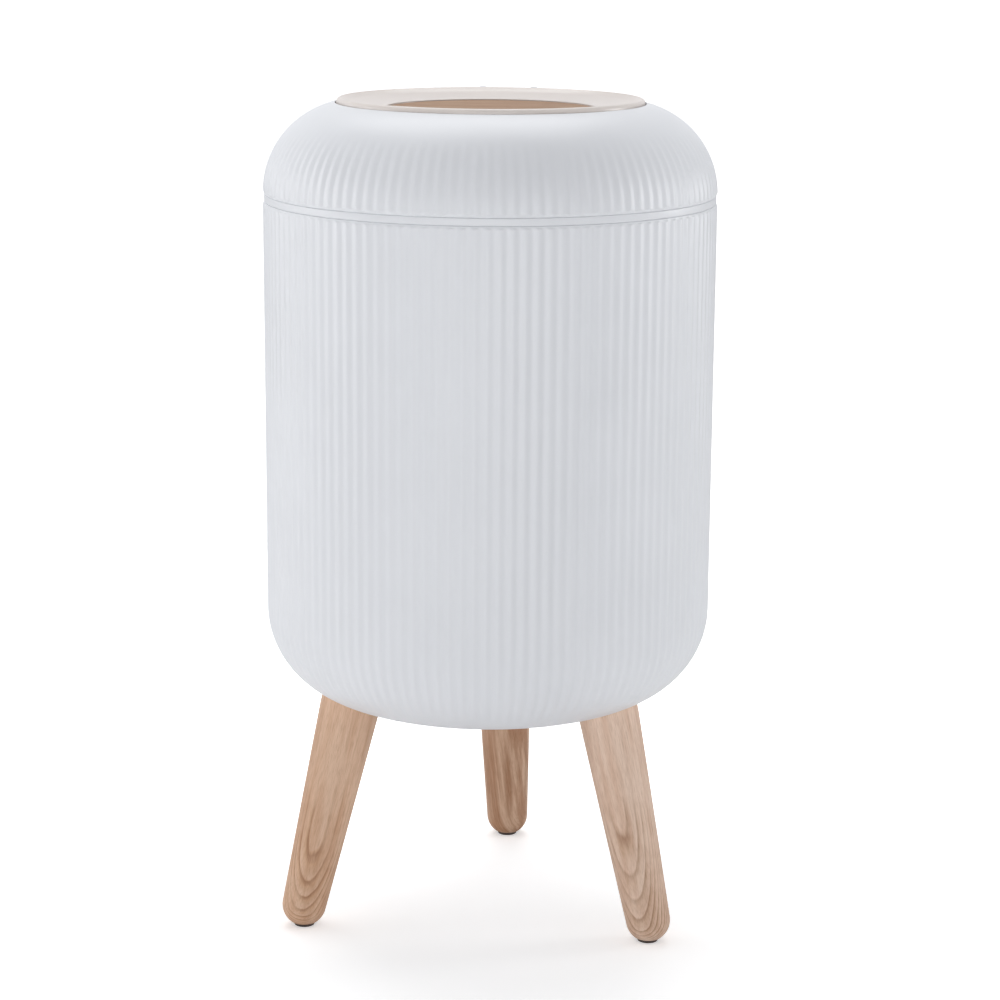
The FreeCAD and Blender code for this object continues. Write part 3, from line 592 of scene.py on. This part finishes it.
def dressed(finish, *names):
    """Gives pieces that keep the solid model's shape their finish."""
    for name in names:
        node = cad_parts[name]
        if not node.data.materials:
            node.data.materials.append(finish)
        for holder in node.material_slots:
            holder.material = finish


# Zinc plating: pale grey metal, cloudy rather than mirror-bright
zinc_steel = metal("zinc_plated_steel", "c9cbcd", "b3b6ba", roughness=0.34, cloud_size=plating_size)
# Turned brass: warm yellow metal with a fine satin
brass = metal("turned_brass", "d2b273", "c09e5f", roughness=0.3, cloud_size=plating_size)
for place_name in leg_places:
    dressed(zinc_steel, "leg_screw_" + place_name)
    dressed(brass, "leg_insert_" + place_name)

# Bag ring
# A moulded ring of the same white plastic that clamps the bag's hem over the body's mouth. Only its smooth
# band shows, between two fine seams; its skirt plugs into the body, and a low spigot keeps the lid in place.
ring_low, ring_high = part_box("bag_ring")
lid_low_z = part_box("lid_shell")[0][2]
band_low_z = body_top_z
band_high_z = lid_low_z
band_radius = body_radius - flute_depth
band_edge = 0.0007
ring_clearance = 0.0004
ring_wall = 0.0024
lid_wall = 0.0022
lip_width = 0.004
lip_height = 0.002
skirt_radius = inner_radius - ring_clearance
lid_inner_radius = band_radius - lid_wall
spigot_radius = lid_inner_radius - ring_clearance
ring_inner = skirt_radius - ring_wall
fine_segments = 360
ring_outline = [
    (ring_inner - lip_width, ring_low[2]), (skirt_radius, ring_low[2]), (skirt_radius, band_low_z),
    *arc((band_radius - band_edge, band_low_z + band_edge), band_edge, -90, 0),
    *arc((band_radius - band_edge, band_high_z - band_edge), band_edge, 0, 90),
    (spigot_radius, band_high_z), (spigot_radius, ring_high[2]), (ring_inner, ring_high[2]),
    (ring_inner, ring_low[2] + lip_height), (ring_inner - lip_width, ring_low[2] + lip_height),
    (ring_inner - lip_width, ring_low[2]),
]
ring = turned("bag_ring_moulded", ring_outline, white_plastic, fine_segments)
finished(ring, "bag_ring", "white_plastic", "bag_ring")

# Lid shell
# The lift-off lid is a second moulding of the white plastic: a short upright edge, a long round shoulder and
# a wide round opening. The body's flutes carry on up the shoulder and fade out on it. A notch at the rear
# clears the hinge, and four bosses inside take the collar's screws.
lid_straight = 0.0005
shoulder_round = 0.0476
opening_setback = 0.0381
lid_hole_radius = body_radius - opening_setback
lid_flute_end_degrees = 56.0
lid_flute_full_degrees = 12.0
lid_arc_start_degrees = 3.0
shoulder_rows = 46
lid_inner_rows = 24
boss_setback = 0.011
boss_circle_radius = lid_hole_radius + boss_setback
boss_count = 4
boss_radius = 0.0042
screw_radius = 0.0013
collar_low_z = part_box("throat_collar")[0][2]
collar_flange = 0.0024
collar_seat_z = collar_low_z + collar_flange
collar_screw_reach = 0.004
pocket_half_width = 0.0165
pocket_inset = 0.004
pocket_reach = 0.0095
pocket_front_y = lid_hole_radius - pocket_inset
pocket_back_y = lid_hole_radius + pocket_reach
shoulder_centre = (body_radius - shoulder_round, lid_low_z + lid_straight)
crown_z = shoulder_centre[1] + shoulder_round
lid_edge_z = lid_low_z + mouth_edge
lid_outline = [
    (0, lid_low_z),
    *arc((body_radius - mouth_edge, lid_edge_z), mouth_edge, -90, 0),
    *run((body_radius, lid_edge_z), (body_radius, lid_edge_z + flute_fade), fade_rows),
    *arc(shoulder_centre, shoulder_round, lid_arc_start_degrees, 90, shoulder_rows),
    (0, crown_z),
]
lid_outline = [(r - min(r, flute_depth) * (1 - seam_share(z - lid_edge_z)), z) for r, z in lid_outline]


def lid_flute_share(r, z):
    """Share of the lid's flute depth: full near its edge, fading out on the shoulder."""
    if r < shoulder_centre[0]:
        return 0
    degrees = math.degrees(math.atan2(max(z - shoulder_centre[1], 0), r - shoulder_centre[0]))
    return eased(degrees, lid_flute_end_degrees, lid_flute_full_degrees) * seam_share(z - lid_edge_z)


def on_circle(radius, bearing, height=0):
    """Point on a circle round Z."""
    return Vector((radius * math.cos(bearing), radius * math.sin(bearing), height))


def boss_places(circle_radius):
    """Places of the screw bosses on a circle, midway between the front, the sides and the rear."""
    bearings = [(index + 0.5) * 2 * math.pi / boss_count for index in range(boss_count)]
    return [Matrix.Translation(on_circle(circle_radius, bearing)) for bearing in bearings]


lid = turned("lid_shell_moulded", lid_outline, white_plastic, side_segments,
             press=pressed(lid_outline, lid_flute_share), flutes=flute_count)
lid_inner_round = shoulder_round - lid_wall - flute_depth
lid_inner_centre = (lid_inner_radius - lid_inner_round, shoulder_centre[1])
lid_hollow = turned("lid_hollow", [(0, lid_low_z - cut_overrun), (lid_inner_radius, lid_low_z - cut_overrun),
                                   *arc(lid_inner_centre, lid_inner_round, 0, 90, lid_inner_rows),
                                   (0, shoulder_centre[1] + lid_inner_round)], white_plastic, inner_segments)
lid_bosses = boss_places(boss_circle_radius)
carved(lid_hollow, [rod(boss_radius, collar_seat_z, crown_z, white_plastic, place) for place in lid_bosses])
carved(lid, [lid_hollow])
opening = rod(lid_hole_radius, collar_seat_z, crown_z + cut_overrun, white_plastic, segments=fine_segments)
notch = block((-pocket_half_width, pocket_front_y, collar_seat_z),
              (pocket_half_width, pocket_back_y, crown_z + cut_overrun), white_plastic)
carved(lid, [opening, notch])
carved(lid, [rod(screw_radius, collar_seat_z - cut_overrun, collar_seat_z + collar_screw_reach,
                 white_plastic, place) for place in lid_bosses])
finished(lid, "lid", "white_plastic", "lid_shell")

# Throat collar
# A moulding screwed up under the lid. It lines the opening, gives the flap its seat and carries the hinge's
# ears at the rear. Soft stops sit in holes in the seat, and slotted screws hold the collar to the bosses in
# the lid.

# Natural polypropylene, a little greyer than the outside: satin, faintly clouded
inner_plastic = moulded("inner_polypropylene_moulded", "dddfe2", "d6d8dc",
                        roughness=0.48, relief_share=0.02, glow=0.05)
# Moulded grey silicone: smooth and darker, with a broad soft shine and light passing inside it
bumper_rubber = moulded("silicone_moulded", "b9bbbd", "aeb0b3", roughness=0.55, relief_share=0.01, glow=0.2)
dressed(inner_plastic, "throat_collar")
dressed(bumper_rubber, "seat_bumpers")
dressed(zinc_steel, "collar_screws")

# Touch latch
# A grey acetal box under the front of the collar, held by two screws. A sprung plunger stands between two
# magnets in it: they hold the closed flap, and pressing the button pushes the plunger and lets the flap go.

# Moulded acetal: dense, slightly waxy grey plastic
latch_plastic = moulded("acetal_moulded", "8d9196", "84888d", roughness=0.38, relief_share=0.01, glow=0.02)
# Nickel-plated magnet: smoother and yellower than zinc
magnet_plating = metal("nickel_plated_magnet", "c8c3b8", "b7b2a8", roughness=0.24, cloud_size=plating_size)
dressed(latch_plastic, "latch_housing", "latch_plunger")
dressed(magnet_plating, "latch_magnets")
dressed(zinc_steel, "latch_screws")

# Hinge
# A plain steel pin pressed through the collar's ears, with the flap's two knuckles turning on it. Between
# them a torsion spring of drawn wire pushes the flap open: one tail lies under the flap, and the other on a
# rib in the collar.
pin_low, pin_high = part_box("hinge_pin")
hinge_y = (pin_low[1] + pin_high[1]) / 2
hinge_z = (pin_low[2] + pin_high[2]) / 2
spring_wire_radius = 0.0004
spring_turn_radius = 0.0023
spring_turns = 9
spring_pitch = 0.0014
spring_front_tail = 0.0105
spring_rear_tail = 0.0054
wire_steps = 24
wire_sides = 12
drawing_size = 0.0006


def wire_rule():
    """Node tree that draws a round wire along a path."""
    tree, given = new_rule("drawn_wire", {"Path": "Geometry", "Wire radius": "Float", "Finish": "Material"})
    line = add_node(tree, "GeometryNodeMeshToCurve", {"Mesh": given["Path"]})
    section = add_node(tree, "GeometryNodeCurvePrimitiveCircle", {"Resolution": wire_sides,
                                                                  "Radius": given["Wire radius"]})
    wire = add_node(tree, "GeometryNodeCurveToMesh", {"Curve": line.outputs[0],
                                                      "Profile Curve": section.outputs[0],
                                                      "Fill Caps": True})
    end_rule(tree, wire.outputs[0], given["Finish"])
    return tree


def coil(turn_radius, pitch, turns):
    """Points of a coil about Z that starts at z = 0 on the +X side."""
    angles = [2 * math.pi * step / wire_steps for step in range(turns * wire_steps + 1)]
    return [on_circle(turn_radius, angle, pitch * angle / (2 * math.pi)) for angle in angles]


def wired(name, paths, wire_radius, finish):
    """Piece of round wire along one path or several."""
    points = [point for path in paths for point in path]
    edges = []
    start = 0
    for path in paths:
        edges += [(start + index, start + index + 1) for index in range(len(path) - 1)]
        start += len(path)
    mesh = bpy.data.meshes.new(name)
    mesh.from_pydata(points, edges, [])
    piece = placed(name, mesh)
    grown(piece, wire_drawing, {"Wire radius": wire_radius, "Finish": finish})
    return piece


wire_drawing = wire_rule()
# Drawn spring wire: darker and smoother steel than the plated pieces, its polish changing in small spots
spring_steel = metal("drawn_spring_steel", "a9abae", "8c8f93", roughness=0.28, cloud_size=drawing_size)
dressed(zinc_steel, "hinge_pin")
half_length = spring_pitch * spring_turns / 2
turns = coil(spring_turn_radius, spring_pitch, spring_turns)
front_tail = turns[0] + Vector((0, -spring_front_tail, 0))
rear_tail = turns[-1] + Vector((0, spring_rear_tail, 0))
across = Matrix.Translation((0, hinge_y, hinge_z)) @ Matrix.Rotation(math.pi / 2, 4, "Y")
on_pin = across @ Matrix.Translation((0, 0, -half_length))
torsion_path = [on_pin @ point for point in [front_tail, *turns, rear_tail]]
torsion = wired("torsion_spring_coiled", [torsion_path], spring_wire_radius, spring_steel)
smoothed(torsion)
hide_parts("torsion_spring")
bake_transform(torsion)

# Flap dish
# A moulding of cream plastic: rounded rim, shallow dish falling to the well in its middle, and a skirt that
# drops into the opening. Two arms at the rear end in the hinge's knuckles, and a notch between them lets the
# spring in under a short rib. Four bosses below take the cover's screws.
dish_low, dish_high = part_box("flap_dish")
rim_top_z = dish_high[2]
flap_radius = dish_high[0]
skirt_low_z = dish_low[2]
rim_width = 0.0026
rim_outer_round = 0.002
rim_drop = 0.0011
dish_end_drop = 0.0048
dish_wall = 0.0022
dish_width = 0.0258
well_radius = flap_radius - dish_width
well_wall = 0.0022
well_depth = 0.012
skirt_wall = 0.0018
neck_depth = 0.0022
neck_root_y = flap_radius - rim_width
knuckle_radius = 0.0029
knuckle_inner_x = 0.0086
knuckle_length = 0.0036
pin_radius = (pin_high[2] - pin_low[2]) / 2
spring_seat = 0.00015
spring_notch_half_width = 0.008
spring_notch_drop = 0.0038
spring_notch_top_z = rim_top_z - spring_notch_drop
flap_boss_setback = 0.013
flap_boss_radius = 0.0036
flap_boss_drop = 0.0044
flap_boss_hole_depth = 0.008
cover_top_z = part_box("flap_cover")[1][2]
rib_width = 0.002
rib_length = 0.003
rib_drop = 0.0033
arm_slot_half_width = 0.0041
arm_height = 0.003
arm_clearance = 0.0006
press_travel = 0.003
wood_low, wood_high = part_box("wood_disc")
arm_slot_low_z = wood_low[2] - arm_height - press_travel - arm_clearance
arm_slot_high_z = wood_low[2] + arm_clearance
well_edge = 0.0004
rim_end_degrees = 122.0
rim_rows = 10
dish_rows = 10
dish_segments = 480

# Cream polypropylene: warmer and a little glossier than the body
cream_plastic = moulded("cream_polypropylene_moulded", "e6ddd7", "e2d9d3",
                        roughness=0.33, relief_share=0.01, glow=0.08)

rim_inner_round = rim_width - rim_outer_round
rim_crest = flap_radius - rim_outer_round
dish_start = (flap_radius - rim_width, rim_top_z - rim_drop)
dish_end = (well_radius + well_edge, rim_top_z - dish_end_drop)
fall = dish_start[1] - dish_end[1]
dish_slope = []
for step in range(1, dish_rows + 1):
    share = step / dish_rows
    dish_slope.append((dish_start[0] + (dish_end[0] - dish_start[0]) * share,
                       dish_start[1] - fall * (1 - (1 - share) ** 2)))
skirt_inner = flap_radius - skirt_wall
under_z = dish_end[1] - dish_wall
well_low_z = dish_end[1] - well_depth
dish_outline = [
    (flap_radius, skirt_low_z),
    *arc((rim_crest, rim_top_z - rim_outer_round), rim_outer_round, 0, 90, rim_rows),
    *arc((rim_crest, rim_top_z - rim_inner_round), rim_inner_round, 90, rim_end_degrees)[1:],
    *dish_slope,
    *arc((dish_end[0], dish_end[1] - well_edge), well_edge, 90, 180)[1:],
    (well_radius, well_low_z), (well_radius + well_wall, well_low_z), (well_radius + well_wall, under_z),
    (skirt_inner, dish_start[1] - dish_wall), (skirt_inner, skirt_low_z),
    (flap_radius, skirt_low_z),
]
dish = turned("flap_dish_moulded", dish_outline, cream_plastic, dish_segments)
knuckle_outer_x = knuckle_inner_x + knuckle_length
raised = []
for low_x, high_x in ((-knuckle_outer_x, -knuckle_inner_x), (knuckle_inner_x, knuckle_outer_x)):
    raised.append(block((low_x, neck_root_y, hinge_z - neck_depth), (high_x, hinge_y, hinge_z + neck_depth),
                        cream_plastic))
    raised.append(rod(knuckle_radius, low_x, high_x, cream_plastic, across))
flap_bosses = boss_places(well_radius + flap_boss_setback)
for place in flap_bosses:
    raised.append(rod(flap_boss_radius, cover_top_z, rim_top_z - flap_boss_drop, cream_plastic, place))
carved(dish, raised, "UNION")
spring_notch = block((-spring_notch_half_width, neck_root_y - cut_overrun, skirt_low_z - cut_overrun),
                     (spring_notch_half_width, flap_radius + cut_overrun, spring_notch_top_z), cream_plastic)
arm_slot = block((-arm_slot_half_width, -flap_radius + cut_overrun, arm_slot_low_z),
                 (arm_slot_half_width, -well_radius + cut_overrun, arm_slot_high_z), cream_plastic)
pin_hole = rod(pin_radius, -knuckle_outer_x - cut_overrun, knuckle_outer_x + cut_overrun, cream_plastic,
               across)
carved(dish, [spring_notch, arm_slot, pin_hole])
carved(dish, [rod(screw_radius, cover_top_z - cut_overrun, cover_top_z + flap_boss_hole_depth, cream_plastic,
                  place) for place in flap_bosses])
rib_front_y = hinge_y - spring_front_tail
rib_low_z = hinge_z - spring_turn_radius + spring_wire_radius + spring_seat
rib = block((-half_length - rib_width / 2, rib_front_y, rib_low_z),
            (-half_length + rib_width / 2, rib_front_y + rib_length, rim_top_z - rib_drop), cream_plastic)
carved(dish, [rib], "UNION")
finished(dish, "flap", "cream_plastic", "flap_dish")

# Flap underside
# A flat moulded cover closes the flap from below. Four slotted screws hold it to the dish, and a thin steel
# plate at its front is what the latch's magnets hold.
dressed(inner_plastic, "flap_cover")
dressed(zinc_steel, "flap_screws", "strike_plate")

# Push plate
# A moulded plate that slides in the well under the wood, with an arm to the latch. Three open coils of drawn
# wire stand between it and the cover and lift it back after a push.
plate_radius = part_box("push_plate")[1][0]
plate_thickness = 0.002
plate_under_z = wood_low[2] - plate_thickness
spring_setback = 0.0198
spring_circle_radius = plate_radius - spring_setback
plate_spring_count = 3
plate_spring_wire = 0.00035
plate_spring_turn = 0.0036
plate_spring_turns = 4
dressed(inner_plastic, "push_plate")
spring_low_z = cover_top_z + plate_spring_wire + spring_seat
spring_high_z = plate_under_z - plate_spring_wire - spring_seat
spring_height = spring_high_z - spring_low_z
plate_turns = coil(plate_spring_turn, spring_height / plate_spring_turns, plate_spring_turns)
paths = []
for index in range(plate_spring_count):
    bearing = math.pi / 2 + index * 2 * math.pi / plate_spring_count
    foot = on_circle(spring_circle_radius, bearing, spring_low_z)
    paths.append([foot + point for point in plate_turns])
plate_springs = wired("plate_springs_coiled", paths, plate_spring_wire, spring_steel)
finished(plate_springs, "flap", "spring_steel", "plate_springs")
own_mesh(plate_springs)

# Latch spring
# A small coil of the same drawn wire, standing loose in the bore under the plunger. It lifts the plunger
# again after each press.
plunger_low, plunger_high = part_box("latch_plunger")
latch_low_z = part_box("latch_housing")[0][2]
latch_floor = 0.0024
latch_spring_wire = 0.0003
latch_spring_turn = 0.0022
latch_spring_turns = 4
bore_floor_z = latch_low_z + latch_floor
plunger_y = (plunger_low[1] + plunger_high[1]) / 2
latch_spring_low = bore_floor_z + latch_spring_wire + spring_seat
latch_spring_high = plunger_low[2] - latch_spring_wire - spring_seat
latch_pitch = (latch_spring_high - latch_spring_low) / latch_spring_turns
latch_foot = Vector((0, plunger_y, latch_spring_low))
latch_turns = [latch_foot + point for point in coil(latch_spring_turn, latch_pitch, latch_spring_turns)]
latch_spring = wired("latch_spring_coiled", [latch_turns], latch_spring_wire, spring_steel)
finished(latch_spring, "lid", "spring_steel", "latch_spring")
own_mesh(latch_spring)

# Wood disc
# A round of the legs' wood, sawn flat, sanded and lacquered. It is glued to the push plate, sunk just below
# the cream dish, and is the button that opens the flap.
wood_radius = wood_high[0]
wood_edge = 0.0004
disc_pith_depth = 0.046
disc_tilt = math.radians(4)
disc_segments = 240

# The same wood, sawn flat and lacquered, with long shallow arches across it. Its tints are darker than the
# legs' as painted shade for its sunk place below the dish's rim
disc_wood_and_shade = timber("pale_wood_sawn_lacquered_shaded", "a9886a", "a07d5f", "835f43", "f0e8e2", roughness=0.6)
disc_outline = [
    (0, wood_low[2]), (wood_radius, wood_low[2]),
    *arc((wood_radius - wood_edge, wood_high[2] - wood_edge), wood_edge, 0, 90),
    (0, wood_high[2]),
]
disc = turned("wood_disc_sawn", disc_outline, disc_wood_and_shade, disc_segments)
disc_timber = (Matrix.Rotation(disc_tilt, 4, "X") @ Matrix.Rotation(math.pi / 2, 4, "Y")
               @ Matrix.Translation((0, 0, disc_pith_depth - wood_high[2])))
grained(disc, [disc_timber @ vertex.co for vertex in disc.data.vertices], [1] * len(disc.data.vertices))
finished(disc, "push_plate", "wood", "wood_disc")

# Floor
# A wide sheet of white paper that the bin stands on. It keeps the bin's shadow and otherwise reads as white,
# out to the edges of the picture.
floor_half_size = 40.0
shadow_reach = 0.12
white_reach = 0.5
glow_shares = (0.42, 1.0)  # of full white, under the bin and far away from it
floor_mesh = bpy.data.meshes.new("floor")
floor_mesh.from_pydata([(floor_half_size * x, floor_half_size * y, 0)
                        for x, y in ((-1, -1), (1, -1), (1, 1), (-1, 1))], [], [(0, 1, 2, 3)])
floor = placed("floor", floor_mesh)

# Matt white paper: even, without shine, and shaded only close to the feet
floor_paper, floor_tree, floor_shader = new_finish("white_paper_floor", {
    "Roughness": 0.9, "Specular IOR Level": 0.0,
    "Base Color": linear("fafafa"), "Emission Color": linear("ffffff")})
rays = add_node(floor_tree, "ShaderNodeLightPath", {}).outputs
spread = add_node(floor_tree, "ShaderNodeTexCoord", {}).outputs["Object"]
reach = add_node(floor_tree, "ShaderNodeVectorMath", {0: spread}, operation="LENGTH")
away = add_node(floor_tree, "ShaderNodeMapRange", {
    "Value": reach.outputs["Value"], "From Min": shadow_reach, "From Max": white_reach,
    "To Min": glow_shares[0], "To Max": glow_shares[1]}, interpolation_type="SMOOTHSTEP")
floor_glow = add_node(floor_tree, "ShaderNodeMath", {0: rays["Is Camera Ray"], 1: away.outputs["Result"]},
                      operation="MULTIPLY")
floor_tree.links.new(floor_glow.outputs[0], floor_shader.inputs["Emission Strength"])
floor_mesh.materials.append(floor_paper)

# Light
# A bright open room: an even white surround, a wide soft lamp above and behind, and weaker ones in front and
# at the sides. The surround shows as white, but lights the bin with only a part of that.
room_strengths = (0.33, 1.0)  # as light on the bin, and as seen by eye or in gloss
scene = bpy.context.scene
scene.view_settings.view_transform = "Standard"
surround = bpy.data.worlds.new("white_room")
scene.world = surround
surround.use_nodes = True
air = surround.node_tree
sky = air.nodes["Background"]
sky.inputs["Color"].default_value = linear("fbfcff")
look = add_node(air, "ShaderNodeLightPath", {}).outputs
seen = add_node(air, "ShaderNodeMath", {0: look["Is Camera Ray"], 1: look["Is Glossy Ray"]},
                operation="MAXIMUM")
through = add_node(air, "ShaderNodeMath", {0: seen.outputs[0], 1: look["Is Transmission Ray"]},
                   operation="MAXIMUM")
level = add_node(air, "ShaderNodeMapRange", {"Value": through.outputs[0], "To Min": room_strengths[0],
                                             "To Max": room_strengths[1]})
air.links.new(level.outputs["Result"], sky.inputs["Strength"])

lamp_aim = Vector((0, 0, 0.3))
# Each lamp's place, width, height and power
lamps = {
    "overhead": (Vector((-0.2, 0.85, 2.2)), 1.6, 1.6, 25.5),
    "front": (Vector((0.1, -2.4, 0.26)), 2.0, 0.5, 17.0),
    "left": (Vector((-2.4, -0.1, 0.5)), 1.4, 0.9, 13.5),
    "left_rear": (Vector((-2.1, 1.0, 0.8)), 0.8, 0.8, 3.5),
    "right_rear": (Vector((2.2, 0.8, 0.5)), 0.6, 0.6, 13.5),
}
for lamp_name, (spot, width, height, power) in lamps.items():
    lamp = bpy.data.lights.new(lamp_name, "AREA")
    lamp.shape = "RECTANGLE"
    lamp.size = width
    lamp.size_y = height
    lamp.energy = power
    holder = placed(lamp_name, lamp)
    holder.location = spot
    holder.rotation_euler = (lamp_aim - spot).to_track_quat("-Z", "Y").to_euler()

# Camera
# Stands in front, a little to the right and above the lid, and looks down at the bin through a long lens.
# Its turns are in radians.
camera_distance = 1.45
camera_height = 0.5488
camera_bearing = math.radians(6.5)
camera_pitch = 0.2181
camera_aside = 0.00427
camera_roll = 0.0065
sensor_width = 36.0
focal_share = 2.739
eye = bpy.data.cameras.new("camera")
eye.sensor_width = sensor_width
eye.lens = sensor_width * focal_share
camera = placed("camera", eye)
camera.location = on_circle(camera_distance, camera_bearing - math.pi / 2, camera_height)
turned_aside = Matrix.Rotation(camera_bearing - camera_aside, 3, "Z")
looking_down = Matrix.Rotation(math.pi / 2 - camera_pitch, 3, "X")
leaning = Matrix.Rotation(camera_roll, 3, "Z")
camera.rotation_euler = (turned_aside @ looking_down @ leaning).to_euler()
scene.camera = camera
